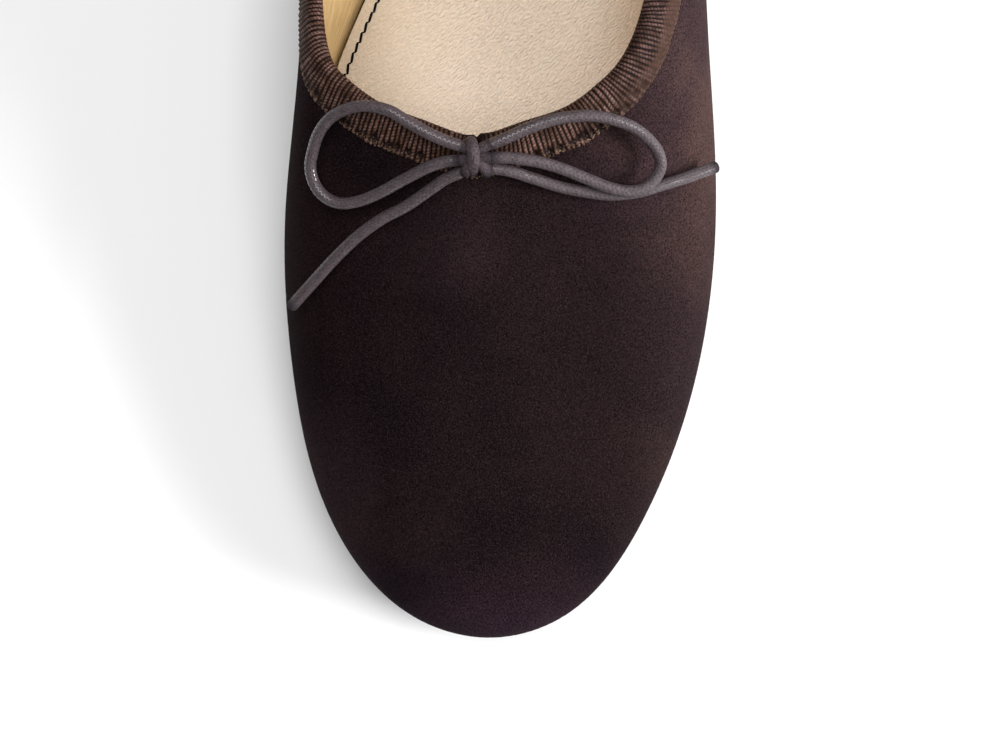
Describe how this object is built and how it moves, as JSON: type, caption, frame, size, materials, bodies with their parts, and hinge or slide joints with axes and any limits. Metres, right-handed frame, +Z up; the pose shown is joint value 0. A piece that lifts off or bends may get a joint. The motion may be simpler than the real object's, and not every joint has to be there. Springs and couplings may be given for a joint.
{
  "type": "ballet flat",
  "caption": "Left ballet flat: round-toed suede upper, ribbon-bound collar with a draw cord's bow, insole, thin leather sole and a low heel.",
  "frame": {"origin": "on the floor, under the middle of the shoe's length and width, the bow left out", "axes": "+X to the shoe's outer side, +Y from the toe to the heel, +Z up"},
  "size_m": [0.0842, 0.246, 0.0571],
  "materials": {
    "suede": "dark brown napped suede, lined with pale gold leather",
    "ribbon": "ribbed grosgrain ribbon, copper brown",
    "sock": "pebbled cream leather, soft gloss",
    "sole_leather": "smooth leather, dark edges",
    "cord": "braided and waxed"
  },
  "bodies": {
    "root": {"upper": "suede", "topline_binding": "ribbon", "insole": "sock", "outsole": "sole_leather", "heel": "sole_leather", "bow_knot": "cord", "bow_loop_inner": "cord", "bow_loop_outer": "cord", "bow_end_inner": "cord", "bow_end_outer": "cord"}
  },
  "joints": []
}
